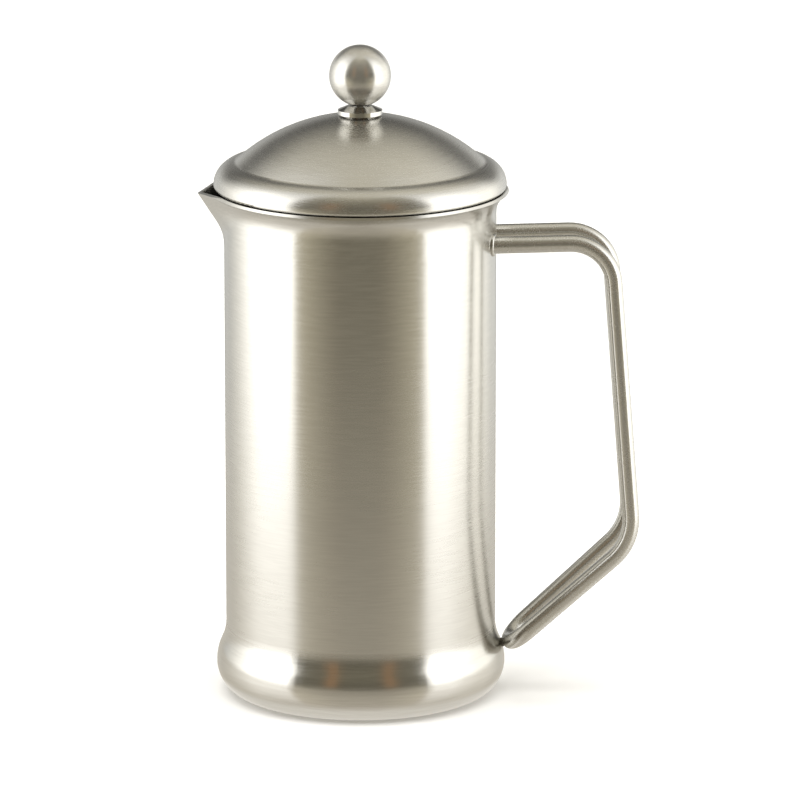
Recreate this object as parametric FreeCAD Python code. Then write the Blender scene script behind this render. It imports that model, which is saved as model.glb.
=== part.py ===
"""Double-walled steel french press, modelled as separate pieces.

Frame: origin at the centre of the base on the table, +Z up, +X towards the handle,
-X towards the spout. All lengths are in millimetres.
Rest pose: lid on, plunger pushed fully down.
"""
import FreeCAD, Part
import math
import os

# ---------------------------------------------------------------- driving sizes
BODY_R = 49.0            # outside radius of the straight wall
SHEET = 0.65             # steel sheet of both walls
LINER_R = 45.5           # inside radius of the brewing chamber
LINER_FLOOR_Z = 8.5      # top face of the chamber floor
LINER_CORNER_R = 3.0     # inside corner of the chamber floor

FOOT_R = 43.6            # where the bulge meets the table
BULGE_R = 52.4           # widest point of the base bulge
BULGE_Z = 11.0           # height of that widest point
BULGE_EXPONENT = 1.94    # superellipse exponent of the lower bulge
WAIST_Z = 25.8           # where the bulge has blended into the straight wall
FLANGE_R = 40.0          # inner edge of the flange turned in under the foot
BULGE_POINTS = 14        # spans of the curve through the lower bulge
BASE_LAP = 1.6           # how far the base plate laps over the flange
BASE_STEP_IN = 1.4       # where its joggle starts, inside the flange
BASE_FLAT_IN = 2.6       # where its flat centre ends
BASE_EASE = 0.4          # how far the upper face of the joggle lies further in

FLARE_Z = 177.6          # start of the flared rim, outside
FLARE_R = 8.88           # arc radius of the flare, outside
FLARE_ANGLE = 60.0       # slope of the rim away from vertical, degrees
RIM_Z = 186.2            # top of the rim lip

SPOUT_START_Z = 165.0    # where the pouring lip starts to leave the wall
SPOUT_ARC_R = 16.0       # arc from the wall into the keel, outside
SPOUT_SLOPE = 33.0       # keel slope away from vertical, outside, degrees
CHANNEL_ARC_R = 10.0     # same, inside the chamber
CHANNEL_SLOPE = 35.0
SPOUT_NOSE_R = 2.0       # rounding of the pinched lip, outside
CHANNEL_NOSE_R = 1.0     # same, inside
SPOUT_DIP_X = 49.3       # where the lip starts to dip towards its tip
SPOUT_DIP_SLOPE = 0.22   # how steeply the lip dips
LIP_SECTIONS = 11        # spans of the loft from the wall up to the lip

ROD_R = 3.05             # handle rod radius
LEG_TOP_Y = 10.8         # half the distance between the two legs at the top
LEG_LOW_Y = 13.4         # half the distance between them at the lower bend
HANDLE_TOP_Z = 167.2     # rod axis where it meets the wall
HANDLE_TOP_CORNER = (89.9, 168.2)   # corner of the upper bend, (x, z)
HANDLE_LOW_CORNER = (98.4, 58.0)    # corner of the lower bend
HANDLE_NOSE = (54.4, 17.8)          # tip of the hairpin on its axis
NOSE_BEND_R = 9.6        # bend radius of the hairpin's round nose
UPPER_BEND_R = 15.5
LOWER_BEND_R = 20.0
ROD_ROOT_IN = 8.0        # how far the untrimmed rod starts inside the wall
ROD_ROOT_DROP = 0.2      # and how far below HANDLE_TOP_Z
WELD_R = 0.8            # section radius of the weld beads at the top of the legs
WELD_OFFSET = 0.2        # how far the bead's centre stands off the rod surface
NOSE_WELD_R = 1.7        # weld between the hairpin nose and the bulge
NOSE_WELD_IN = 2.95      # its centre, towards the pot from the nose axis
NOSE_WELD_DROP = 1.1     # and below it

LID_SHEET = 0.7
DOME_R = 67.05           # outside radius of the dome sphere
DOME_CENTRE_Z = 145.8
CREASE_R = 45.06         # where the dome meets the ring
RING_R = 7.80            # section radius of the ring
RING_CENTRE_R = 44.9     # centre of that section
RING_CURL_R = 1.3        # curl under the ring
CREASE_FILLET_R = 2.2    # rounding of the valley between dome and ring
LID_SEAT_Z = 186.2       # underside of the lid ring
LID_FLANGE_R = 45.6      # inner edge of the flange under the ring
UNDER_CREASE_IN = 0.6    # where the inner dome ends, inside the crease
UNDER_RING_OUT = 0.3     # where the inner ring starts, outside the ring centre
UNDER_CORNER = 0.4       # bevel in the inner corner of the ring
BUSH_HOLE_R = 5.0
BUSH_SEAT_R = 6.0        # flat on top of the dome under the bush

PAN_R = 62.0             # dome radius of the inner pan
PAN_CENTRE_Z = 144.0
PAN_EDGE_R = 43.3
PAN_FLAT_R = 11.0
PAN_SHEET = 0.6
PAN_FLANGE_WIDTH = 2.6   # how far its flange reaches out over the lid's flange
PAN_CORNER_OUT = 0.5     # slope of the outside corner between dome and flange
PAN_CORNER_IN = 0.2      # same on the inside, lower end
PAN_CORNER_TOP = 0.7     # same on the inside, upper end

SKIRT_R = 44.9           # outside radius of the strainer skirt
SKIRT_SHEET = 0.6
SKIRT_BOTTOM_Z = 168.0
SKIRT_FLANGE_R = 48.8
SKIRT_BEND_R = 1.2       # inside bend between skirt and flange
SLOT_COUNT = 11
SLOT_PITCH = 4.2         # degrees
SLOT_WIDTH = 1.9
SLOT_BOTTOM_Z = 170.6
SLOT_TOP_Z = 179.4

SEAL_INNER_R = 45.3
SEAL_BOTTOM_Z = 180.6
SEAL_TOP_Z = 185.3
SEAL_GAP = 0.35
SEAL_EDGE_OUT = 0.4      # bevel of the upper outer edge: start, end and height
SEAL_EDGE_IN = 0.9
SEAL_EDGE_DROP = 0.3

COLLAR_R = 8.0           # polished collar on the dome
COLLAR_BOTTOM_Z = 212.95
COLLAR_EDGE_Z = 214.7
COLLAR_TOP_R = 4.3
COLLAR_TOP_Z = 216.3
COLLAR_BEVEL = 0.25
BARREL_R = 4.9
BARREL_BOTTOM_Z = 199.0
BARREL_BEVEL = 0.4
GUIDE_BORE_R = 3.45
WASHER_R = 9.4
WASHER_CLEARANCE = 0.15  # between washer and barrel
WASHER_THICK = 0.8
BUSH_NUT_FLATS = 14.0    # across flats
BUSH_NUT_UP = 0.5        # underside of the nut, above the end of the barrel
SLEEVE_R = 3.4
SLEEVE_BORE_R = 2.55
SLEEVE_FLANGE_R = 4.5
SLEEVE_FLANGE_LOW = 1.4  # underside of the sleeve's flange, below the barrel
SLEEVE_FLANGE_GAP = 0.3  # between that flange and the barrel
SLEEVE_TOP_DROP = 0.2    # top of the sleeve, below the top of the collar

KNOB_R = 11.1
KNOB_CENTRE_Z = 227.1
KNOB_FOOT_R = 4.1
PLUNGER_ROD_R = 2.5
PLUNGER_ROD_TOP_Z = 225.0
PLUNGER_ROD_BOTTOM_Z = 9.8
PLUNGER_ROD_BEVEL = 0.4

MESH_R = 45.1
MESH_Z = 11.0
MESH_SHEET = 0.4
MESH_RIM_Z = 16.0
MESH_BEND_R = 1.6
CROSS_R = 42.0
CROSS_Z = 10.0
CROSS_SHEET = 1.0
CROSS_OUTER_HOLES = (10, 31.5, 5.6)   # how many, on which radius, of what radius
CROSS_INNER_HOLES = (8, 16.5, 3.6)
SPIRAL_R = 42.9
SPIRAL_SHEET = 0.8
SPIRAL_OUTER_HOLES = (16, 31.0, 3.0)
SPIRAL_INNER_HOLES = (10, 18.5, 2.2)
SEAT_RIB_OUT = 2.0       # rib that holds the spring: its outer and inner face inside the spring
SEAT_RIB_IN = 2.7
SEAT_RIB_HIGH = 2.2
SPRING_R = 43.0
SPRING_WIRE_R = 1.3
SPRING_Z = 13.9
HUB_R = 5.0
HUB_FLANGE_R = 8.0
HUB_BOTTOM_Z = 9.0
HUB_TOP_Z = 14.4
NUT_TOP_Z = 18.4
ROD_NUT_FLATS = 10.0     # across flats

OUTSIDE_ARC_X = BODY_R + FLARE_R
RIM_EDGE_Z = FLARE_Z + FLARE_R * math.sin(math.radians(FLARE_ANGLE))
RIM_EDGE_R = OUTSIDE_ARC_X - FLARE_R * math.cos(math.radians(FLARE_ANGLE))
RIM_TILT = math.tan(math.radians(90.0 - FLARE_ANGLE))
INNER_EDGE_R = RIM_EDGE_R - 2 * SHEET * math.cos(math.radians(FLARE_ANGLE))
INNER_EDGE_Z = RIM_EDGE_Z + 2 * SHEET * math.sin(math.radians(FLARE_ANGLE))
INNER_FLARE_R = (INNER_EDGE_R - LINER_R) / (1.0 - math.cos(math.radians(FLARE_ANGLE)))
INNER_FLARE_Z = INNER_EDGE_Z - INNER_FLARE_R * math.sin(math.radians(FLARE_ANGLE))
INSIDE_ARC_X = LINER_R + INNER_FLARE_R
CREASE_Z = DOME_CENTRE_Z + math.sqrt(DOME_R ** 2 - CREASE_R ** 2)
RING_CENTRE_Z = CREASE_Z - math.sqrt(RING_R ** 2 - (CREASE_R - RING_CENTRE_R) ** 2)

UP = FreeCAD.Vector(0, 0, 1)
ZERO = FreeCAD.Vector(0, 0, 0)


# ---------------------------------------------------------------- small helpers
def vec(x, y, z):
    """A point or direction."""
    return FreeCAD.Vector(x, y, z)


def spot(r, z):
    """A point of a half section: radius r, height z."""
    return FreeCAD.Vector(r, 0, z)


def line(a, b):
    """Straight edge."""
    return Part.makeLine(a, b)


def arc3(a, b, c):
    """Arc edge through three points."""
    return Part.Arc(a, b, c).toShape()


def arc_at(centre_r, centre_z, radius, start, end):
    """Arc in the half section plane between two angles in degrees."""
    points = []
    for angle in (start, 0.5 * (start + end), end):
        turn = math.radians(angle)
        points.append(spot(centre_r + radius * math.cos(turn), centre_z + radius * math.sin(turn)))
    return Part.Arc(points[0], points[1], points[2]).toShape()


def spin(edges):
    """Solid of revolution of a closed half section about Z."""
    wire = Part.Wire(Part.__sortEdges__(edges))
    return Part.Face(wire).revolve(ZERO, UP, 360)


def spin_points(pairs):
    """Solid of revolution of a polygon given as (r, z) pairs."""
    points = [spot(r, z) for r, z in pairs]
    points.append(points[0])
    return Part.Face(Part.makePolygon(points)).revolve(ZERO, UP, 360)


def tube(outer, inner, low, high):
    """Round tube about Z."""
    body = Part.makeCylinder(outer, high - low, spot(0, low))
    return body.cut(Part.makeCylinder(inner, high - low, spot(0, low)))


def hexagon(across_flats, low, high):
    """Hexagonal prism about Z."""
    corner = 0.5 * across_flats / math.cos(math.radians(30))
    points = []
    for step in range(7):
        turn = math.radians(60 * step)
        points.append(vec(corner * math.cos(turn), corner * math.sin(turn), low))
    return Part.Face(Part.makePolygon(points)).extrude(vec(0, 0, high - low))


def around(shape, count):
    """Copies of a shape evenly turned about Z, as one compound."""
    copies = []
    for step in range(count):
        copy = shape.copy()
        copy.rotate(ZERO, UP, 360.0 * step / count)
        copies.append(copy)
    return Part.makeCompound(copies)


# ---------------------------------------------------------------- pot outline
def bulge_curve(offset):
    """Lower bulge from the foot to its widest point, offset inwards along its normal."""
    points = []
    for step in range(BULGE_POINTS + 1):
        turn = 0.5 * math.pi * step / BULGE_POINTS
        power = 2.0 / BULGE_EXPONENT
        r = FOOT_R + (BULGE_R - FOOT_R) * math.sin(turn) ** power
        z = BULGE_Z * (1.0 - math.cos(turn) ** power)
        out_r = (math.sin(turn) ** (2.0 - power)) / (BULGE_R - FOOT_R)
        out_z = -(math.cos(turn) ** (2.0 - power)) / BULGE_Z
        size = math.hypot(out_r, out_z)
        points.append(spot(r - offset * out_r / size, z - offset * out_z / size))
    curve = Part.BSplineCurve()
    curve.interpolate(points)
    return curve.toShape(), points[0], points[-1]


def waist_edges(offset):
    """S-curve of two equal arcs from the widest point up to the straight wall."""
    drop = BULGE_R - BODY_R
    rise = WAIST_Z - BULGE_Z
    turn = 2.0 * math.degrees(math.atan2(drop, rise))
    radius = 0.5 * rise / math.sin(math.radians(turn))
    lower = arc_at(BULGE_R - radius, BULGE_Z, radius - offset, 0.0, turn)
    upper = arc_at(BODY_R + radius, WAIST_Z, radius + offset, 180.0 + turn, 180.0)
    return [lower, upper]


def lower_body(offset, floor_z):
    """Solid inside the pot outline, up to the start of the spout."""
    bulge, start, end = bulge_curve(offset)
    lower, upper = waist_edges(offset)
    wall_r = BODY_R - offset
    edges = [
        line(spot(0, floor_z), spot(start.x, floor_z)),
        bulge,
        lower,
        upper,
        line(spot(wall_r, WAIST_Z), spot(wall_r, SPOUT_START_Z)),
        line(spot(wall_r, SPOUT_START_Z), spot(0, SPOUT_START_Z)),
        line(spot(0, SPOUT_START_Z), spot(0, floor_z)),
    ]
    return spin(edges)


# ---------------------------------------------------------------- rim and spout
def flare_radius(z, wall_r, arc_x, arc_z):
    """Radius of a flared wall at height z; the arc centre lies outside the wall."""
    if z <= arc_z:
        return wall_r
    radius = arc_x - wall_r
    return arc_x - math.sqrt(radius ** 2 - (z - arc_z) ** 2)


def keel_reach(z, wall_r, arc_x, slope):
    """Reach of the spout keel at height z: arc away from the wall, then a straight slope."""
    radius = arc_x - wall_r
    turn = math.radians(slope)
    bend_z = SPOUT_START_Z + radius * math.sin(turn)
    if z <= bend_z:
        return arc_x - math.sqrt(radius ** 2 - (z - SPOUT_START_Z) ** 2)
    return arc_x - radius * math.cos(turn) + (z - bend_z) * math.tan(turn)


def lip_section(z, r, reach, nose):
    """Horizontal outline: a circle with a pinched nose of tangent lines towards -X."""
    reach = max(reach, r + 0.02)
    turn = math.acos((r - nose) / (reach - nose))
    side = math.pi - turn
    near = vec(r * math.cos(side), r * math.sin(side), z)
    far = vec(r * math.cos(side), -r * math.sin(side), z)
    shift = reach - nose
    nose_near = vec(-shift + nose * math.cos(side), nose * math.sin(side), z)
    nose_far = vec(-shift + nose * math.cos(side), -nose * math.sin(side), z)
    edges = [
        arc3(far, vec(r, 0, z), near),
        line(near, nose_near),
        arc3(nose_near, vec(-reach, 0, z), nose_far),
        line(nose_far, far),
    ]
    return Part.Wire(edges)


def lip_loft(heights, outline):
    """Solid through the lip sections at the given heights."""
    wires = []
    for z in heights:
        r, reach, nose = outline(z)
        wires.append(lip_section(z, r, reach, nose))
    return Part.makeLoft(wires, True, False)


def outside_outline(z):
    """Outside of the outer shell."""
    r = flare_radius(z, BODY_R, OUTSIDE_ARC_X, FLARE_Z)
    reach = keel_reach(z, BODY_R, BODY_R + SPOUT_ARC_R, SPOUT_SLOPE)
    return r, reach, SPOUT_NOSE_R


def shell_back_outline(z):
    """Inner face of the outer shell."""
    r = flare_radius(z, BODY_R - SHEET, OUTSIDE_ARC_X, FLARE_Z)
    reach = keel_reach(z, BODY_R - SHEET, BODY_R + SPOUT_ARC_R, SPOUT_SLOPE)
    return r, reach, SPOUT_NOSE_R - 0.5 * SHEET


def liner_back_outline(z):
    """Outer face of the liner, towards the gap between the walls."""
    r = flare_radius(z, LINER_R + SHEET, INSIDE_ARC_X, INNER_FLARE_Z)
    reach = keel_reach(z, LINER_R + SHEET, LINER_R + CHANNEL_ARC_R, CHANNEL_SLOPE)
    return r, reach, CHANNEL_NOSE_R + 0.5 * SHEET


def chamber_outline(z):
    """Inner face of the liner, towards the coffee."""
    r = flare_radius(z, LINER_R, INSIDE_ARC_X, INNER_FLARE_Z)
    reach = keel_reach(z, LINER_R, LINER_R + CHANNEL_ARC_R, CHANNEL_SLOPE)
    return r, reach, CHANNEL_NOSE_R


def edge_outline(z):
    """Edge face of the rim lip, square to the sheets."""
    r = RIM_EDGE_R - (z - RIM_EDGE_Z) * RIM_TILT
    reach = keel_reach(RIM_EDGE_Z, BODY_R, BODY_R + SPOUT_ARC_R, SPOUT_SLOPE)
    return r, reach - (z - RIM_EDGE_Z) * RIM_TILT, SPOUT_NOSE_R


def steps_between(low, high, count):
    """Evenly spaced heights."""
    return [low + (high - low) * step / count for step in range(count + 1)]


def spout_dip():
    """Wedge that lowers the lip towards the tip of the spout."""
    far = BODY_R + 26.0
    low = RIM_Z - SPOUT_DIP_SLOPE * (far - SPOUT_DIP_X)
    top = RIM_Z + 10.0
    half = BODY_R - 4.0
    corners = [
        vec(-SPOUT_DIP_X, -half, RIM_Z),
        vec(-far, -half, low),
        vec(-far, -half, top),
        vec(-SPOUT_DIP_X, -half, top),
        vec(-SPOUT_DIP_X, -half, RIM_Z),
    ]
    return Part.Face(Part.makePolygon(corners)).extrude(vec(0, 2 * half, 0))


def make_outer_shell():
    """Outer wall with bulged base, flared rim and pinched spout."""
    wall = lower_body(0.0, 0.0).cut(lower_body(SHEET, SHEET))
    wall = wall.cut(Part.makeCylinder(FLANGE_R, 4 * SHEET, spot(0, -SHEET)))
    heights = steps_between(SPOUT_START_Z, RIM_EDGE_Z, LIP_SECTIONS)
    top = lip_loft(heights, outside_outline).cut(lip_loft(heights, shell_back_outline))
    return wall.fuse(top).removeSplitter().cut(spout_dip())


def make_inner_liner():
    """Brewing chamber with floor, flared rim and pouring channel."""
    back_r = LINER_R + SHEET
    back_z = LINER_FLOOR_Z - SHEET
    back_corner = LINER_CORNER_R + SHEET
    outside = spin([
        line(spot(0, back_z), spot(back_r - back_corner, back_z)),
        arc_at(back_r - back_corner, back_z + back_corner, back_corner, -90, 0),
        line(spot(back_r, back_z + back_corner), spot(back_r, SPOUT_START_Z)),
        line(spot(back_r, SPOUT_START_Z), spot(0, SPOUT_START_Z)),
        line(spot(0, SPOUT_START_Z), spot(0, back_z)),
    ])
    inside = spin([
        line(spot(0, LINER_FLOOR_Z), spot(LINER_R - LINER_CORNER_R, LINER_FLOOR_Z)),
        arc_at(LINER_R - LINER_CORNER_R, LINER_FLOOR_Z + LINER_CORNER_R, LINER_CORNER_R, -90, 0),
        line(spot(LINER_R, LINER_FLOOR_Z + LINER_CORNER_R), spot(LINER_R, SPOUT_START_Z)),
        line(spot(LINER_R, SPOUT_START_Z), spot(0, SPOUT_START_Z)),
        line(spot(0, SPOUT_START_Z), spot(0, LINER_FLOOR_Z)),
    ])
    cup = outside.cut(inside)
    heights = steps_between(SPOUT_START_Z, RIM_EDGE_Z, LIP_SECTIONS)
    all_heights = heights + [RIM_Z]
    back = lip_loft(heights, liner_back_outline)
    lip = lip_loft([RIM_EDGE_Z, RIM_Z], edge_outline)
    chamber = lip_loft(all_heights, chamber_outline)
    top = back.fuse(lip).cut(chamber)
    return cup.fuse(top).removeSplitter().cut(spout_dip())


def make_base_plate():
    """Pressed disc that closes the base: flat centre on the table, lapped edge above the flange."""
    lap_r = FLANGE_R + BASE_LAP
    step_r = FLANGE_R - BASE_STEP_IN
    flat_r = FLANGE_R - BASE_FLAT_IN
    plate = SHEET
    return spin_points([
        (0, 0),
        (flat_r, 0),
        (step_r, SHEET),
        (lap_r, SHEET),
        (lap_r, SHEET + plate),
        (step_r - BASE_EASE, SHEET + plate),
        (flat_r - BASE_EASE, plate),
        (0, plate),
    ])


# ---------------------------------------------------------------- handle
def corner_arc(before, corner, after, radius):
    """Tangent points and middle point of a bend between two straight runs."""
    back = (before - corner).normalize()
    ahead = (after - corner).normalize()
    half = 0.5 * back.getAngle(ahead)
    reach = radius / math.tan(half)
    first = corner + back * reach
    last = corner + ahead * reach
    inward = (back + ahead).normalize()
    middle = corner + inward * (radius / math.sin(half) - radius)
    return first, middle, last


def nose_tangent(run_length):
    """Where a leg meets the round nose: its distance from the tip along the run, and its y."""
    along = run_length - NOSE_BEND_R
    lean = math.atan2(LEG_LOW_Y, along) - math.asin(NOSE_BEND_R / math.hypot(along, LEG_LOW_Y))
    return NOSE_BEND_R * (1.0 - math.sin(lean)), NOSE_BEND_R * math.cos(lean)


def handle_leg(side):
    """One leg: its start in the wall, both bends and the point where it meets the nose."""
    nose = vec(HANDLE_NOSE[0], 0, HANDLE_NOSE[1])
    run = vec(HANDLE_LOW_CORNER[0], 0, HANDLE_LOW_CORNER[1]) - nose
    reach, end_y = nose_tangent(run.Length)
    run.normalize()
    start = vec(BODY_R - ROD_ROOT_IN, side * LEG_TOP_Y, HANDLE_TOP_Z - ROD_ROOT_DROP)
    top = vec(HANDLE_TOP_CORNER[0], side * LEG_TOP_Y, HANDLE_TOP_CORNER[1])
    low = vec(HANDLE_LOW_CORNER[0], side * LEG_LOW_Y, HANDLE_LOW_CORNER[1])
    end = nose + run * reach + vec(0, side * end_y, 0)
    upper = corner_arc(start, top, low, UPPER_BEND_R)
    lower = corner_arc(top, low, end, LOWER_BEND_R)
    return start, upper, lower, end


def handle_path():
    """Edges of the hairpin: one leg down, the round nose and the other leg up."""
    start, upper, lower, end = handle_leg(-1)
    other_start, other_upper, other_lower, other_end = handle_leg(1)
    nose = vec(HANDLE_NOSE[0], 0, HANDLE_NOSE[1])
    return [
        line(start, upper[0]),
        arc3(upper[0], upper[1], upper[2]),
        line(upper[2], lower[0]),
        arc3(lower[0], lower[1], lower[2]),
        line(lower[2], end),
        arc3(end, nose, other_end),
        line(other_end, other_lower[2]),
        arc3(other_lower[2], other_lower[1], other_lower[0]),
        line(other_lower[0], other_upper[2]),
        arc3(other_upper[2], other_upper[1], other_upper[0]),
        line(other_upper[0], other_start),
    ]


def full_body():
    """Everything inside the pot's outside, used to trim what is welded on."""
    wall = Part.makeCylinder(BODY_R, RIM_Z - WAIST_Z, spot(0, WAIST_Z))
    return lower_body(0.0, 0.0).fuse(wall)


def make_handle_rod(body):
    """Bent rod, trimmed where it meets the wall."""
    edges = handle_path()
    direction = edges[0].tangentAt(edges[0].FirstParameter)
    start = edges[0].valueAt(edges[0].FirstParameter)
    ring = Part.Wire([Part.makeCircle(ROD_R, start, direction)])
    rod = Part.Wire(edges).makePipeShell([ring], True, False)
    return rod.cut(body)


def make_top_weld(rod, body):
    """Round weld bead round the leg on the -Y side where it meets the wall."""
    root_x = math.sqrt(BODY_R ** 2 - LEG_TOP_Y ** 2)
    root = vec(root_x, -LEG_TOP_Y, HANDLE_TOP_Z)
    outward = vec(root_x, -LEG_TOP_Y, 0)
    bead = Part.makeTorus(ROD_R + WELD_OFFSET, WELD_R, root, outward)
    return bead.cut(body).cut(rod)


def make_nose_weld(rod, body):
    """Small weld between the hairpin nose and the base bulge."""
    centre = vec(HANDLE_NOSE[0] - NOSE_WELD_IN, 0, HANDLE_NOSE[1] - NOSE_WELD_DROP)
    blob = Part.makeSphere(NOSE_WELD_R, centre)
    return blob.cut(body).cut(rod)


# ---------------------------------------------------------------- lid
def sphere_z(r, radius, centre_z):
    """Height of a sphere's upper half at radius r."""
    return centre_z + math.sqrt(radius ** 2 - r ** 2)


def dome_arc(from_r, to_r, radius, centre_z):
    """Arc of the dome between two radii."""
    middle = 0.5 * (from_r + to_r)
    return arc3(
        spot(from_r, sphere_z(from_r, radius, centre_z)),
        spot(middle, sphere_z(middle, radius, centre_z)),
        spot(to_r, sphere_z(to_r, radius, centre_z)),
    )


def crease_fillet(ring_z):
    """Fillet arc in the valley between dome and ring, and where it meets each of them."""
    dome_reach = DOME_R + CREASE_FILLET_R
    ring_reach = RING_R + CREASE_FILLET_R
    across = RING_CENTRE_R
    rise = ring_z - DOME_CENTRE_Z
    apart = math.hypot(across, rise)
    along = (dome_reach ** 2 - ring_reach ** 2 + apart ** 2) / (2.0 * apart)
    aside = math.sqrt(dome_reach ** 2 - along ** 2)
    centre = spot((along * across - aside * rise) / apart,
                  DOME_CENTRE_Z + (along * rise + aside * across) / apart)
    to_dome = (spot(0, DOME_CENTRE_Z) - centre).normalize() * CREASE_FILLET_R
    to_ring = (spot(RING_CENTRE_R, ring_z) - centre).normalize() * CREASE_FILLET_R
    to_valley = (to_dome + to_ring).normalize() * CREASE_FILLET_R
    on_dome = centre + to_dome
    on_ring = centre + to_ring
    return arc3(on_dome, centre + to_valley, on_ring), on_dome, on_ring


def make_lid_shell():
    """Domed lid with its round ring, curled under into a flat flange."""
    ring_r = RING_CENTRE_R
    ring_z = RING_CENTRE_Z
    seat_top = sphere_z(BUSH_SEAT_R, DOME_R, DOME_CENTRE_Z)
    fillet, on_dome, on_ring = crease_fillet(ring_z)
    crease_angle = math.degrees(math.atan2(on_ring.z - ring_z, on_ring.x - ring_r))
    curl_z = LID_SEAT_Z + RING_CURL_R
    side_angle = math.degrees(math.asin((curl_z - ring_z) / RING_R))
    side_r = ring_r + RING_R * math.cos(math.radians(side_angle))
    curl_r = side_r - RING_CURL_R
    inner_dome = DOME_R - LID_SHEET
    inner_ring = RING_R - LID_SHEET
    under_r = CREASE_R - UNDER_CREASE_IN
    under_z = sphere_z(under_r, inner_dome, DOME_CENTRE_Z)
    ring_in_r = ring_r + UNDER_RING_OUT
    ring_in_z = ring_z + math.sqrt(inner_ring ** 2 - UNDER_RING_OUT ** 2)
    floor_z = LID_SEAT_Z + LID_SHEET
    floor_side_z = floor_z + UNDER_CORNER
    floor_side = ring_r + math.sqrt(inner_ring ** 2 - (floor_side_z - ring_z) ** 2)
    hole_under_z = sphere_z(BUSH_SEAT_R, inner_dome, DOME_CENTRE_Z)
    edges = [
        line(spot(BUSH_HOLE_R, seat_top), spot(BUSH_SEAT_R, seat_top)),
        dome_arc(BUSH_SEAT_R, on_dome.x, DOME_R, DOME_CENTRE_Z),
        fillet,
        arc_at(ring_r, ring_z, RING_R, crease_angle, side_angle),
        arc3(spot(side_r, curl_z),
             spot(curl_r + RING_CURL_R * math.sqrt(0.5), curl_z - RING_CURL_R * math.sqrt(0.5)),
             spot(curl_r, LID_SEAT_Z)),
        line(spot(curl_r, LID_SEAT_Z), spot(LID_FLANGE_R, LID_SEAT_Z)),
        line(spot(LID_FLANGE_R, LID_SEAT_Z), spot(LID_FLANGE_R, floor_z)),
        line(spot(LID_FLANGE_R, floor_z), spot(floor_side - UNDER_CORNER, floor_z)),
        line(spot(floor_side - UNDER_CORNER, floor_z), spot(floor_side, floor_side_z)),
        arc3(spot(floor_side, floor_side_z),
             spot(ring_r + inner_ring * math.cos(math.radians(45)),
                  ring_z + inner_ring * math.sin(math.radians(45))),
             spot(ring_in_r, ring_in_z)),
        line(spot(ring_in_r, ring_in_z), spot(under_r, under_z)),
        dome_arc(under_r, BUSH_SEAT_R, inner_dome, DOME_CENTRE_Z),
        line(spot(BUSH_SEAT_R, hole_under_z), spot(BUSH_HOLE_R, hole_under_z)),
        line(spot(BUSH_HOLE_R, hole_under_z), spot(BUSH_HOLE_R, seat_top)),
    ]
    return spin(edges)


def make_lid_pan():
    """Inner pan of the lid: shallow dome with a flat seat and an outward flange."""
    flange_low = LID_SEAT_Z + LID_SHEET
    flange_high = flange_low + PAN_SHEET
    flange_r = LID_FLANGE_R + PAN_FLANGE_WIDTH
    corner_out_r = PAN_EDGE_R + PAN_CORNER_OUT
    corner_low_r = PAN_EDGE_R - PAN_CORNER_IN
    corner_top_r = PAN_EDGE_R - PAN_CORNER_TOP
    inner = PAN_R - PAN_SHEET
    flat_top = sphere_z(PAN_FLAT_R, PAN_R, PAN_CENTRE_Z)
    flat_low = sphere_z(PAN_FLAT_R, inner, PAN_CENTRE_Z)
    edges = [
        line(spot(BUSH_HOLE_R, flat_top), spot(PAN_FLAT_R, flat_top)),
        dome_arc(PAN_FLAT_R, PAN_EDGE_R, PAN_R, PAN_CENTRE_Z),
        line(spot(PAN_EDGE_R, sphere_z(PAN_EDGE_R, PAN_R, PAN_CENTRE_Z)),
             spot(corner_out_r, flange_high)),
        line(spot(corner_out_r, flange_high), spot(flange_r, flange_high)),
        line(spot(flange_r, flange_high), spot(flange_r, flange_low)),
        line(spot(flange_r, flange_low), spot(corner_low_r, flange_low)),
        line(spot(corner_low_r, flange_low),
             spot(corner_top_r, sphere_z(corner_top_r, inner, PAN_CENTRE_Z))),
        dome_arc(corner_top_r, PAN_FLAT_R, inner, PAN_CENTRE_Z),
        line(spot(PAN_FLAT_R, flat_low), spot(BUSH_HOLE_R, flat_low)),
        line(spot(BUSH_HOLE_R, flat_low), spot(BUSH_HOLE_R, flat_top)),
    ]
    return spin(edges)


def make_lid_skirt():
    """Strainer skirt with a row of upright slots that faces the spout."""
    inner = SKIRT_R - SKIRT_SHEET
    bend = SKIRT_BEND_R
    top = LID_SEAT_Z
    under = top - SKIRT_SHEET
    band = spin([
        line(spot(inner, SKIRT_BOTTOM_Z), spot(SKIRT_R, SKIRT_BOTTOM_Z)),
        line(spot(SKIRT_R, SKIRT_BOTTOM_Z), spot(SKIRT_R, under)),
        line(spot(SKIRT_R, under), spot(SKIRT_FLANGE_R, under)),
        line(spot(SKIRT_FLANGE_R, under), spot(SKIRT_FLANGE_R, top)),
        line(spot(SKIRT_FLANGE_R, top), spot(inner + bend, top)),
        arc3(spot(inner + bend, top),
             spot(inner + bend * (1 - math.sqrt(0.5)), top - bend * (1 - math.sqrt(0.5))),
             spot(inner, top - bend)),
        line(spot(inner, top - bend), spot(inner, SKIRT_BOTTOM_Z)),
    ])
    half = 0.5 * SLOT_WIDTH
    length = SLOT_TOP_Z - SLOT_BOTTOM_Z - SLOT_WIDTH
    reach = 8.0
    far_x = -SKIRT_R - 0.5 * reach
    along = vec(1, 0, 0)
    cutters = []
    for index in range(SLOT_COUNT):
        slot = Part.makeBox(reach, SLOT_WIDTH, length, vec(far_x, -half, SLOT_BOTTOM_Z + half))
        low = Part.makeCylinder(half, reach, vec(far_x, 0, SLOT_BOTTOM_Z + half), along)
        high = Part.makeCylinder(half, reach, vec(far_x, 0, SLOT_TOP_Z - half), along)
        cutter = slot.fuse(low).fuse(high)
        cutter.rotate(ZERO, UP, SLOT_PITCH * (index - 0.5 * (SLOT_COUNT - 1)))
        cutters.append(cutter)
    return band.cut(Part.makeCompound(cutters))


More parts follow.
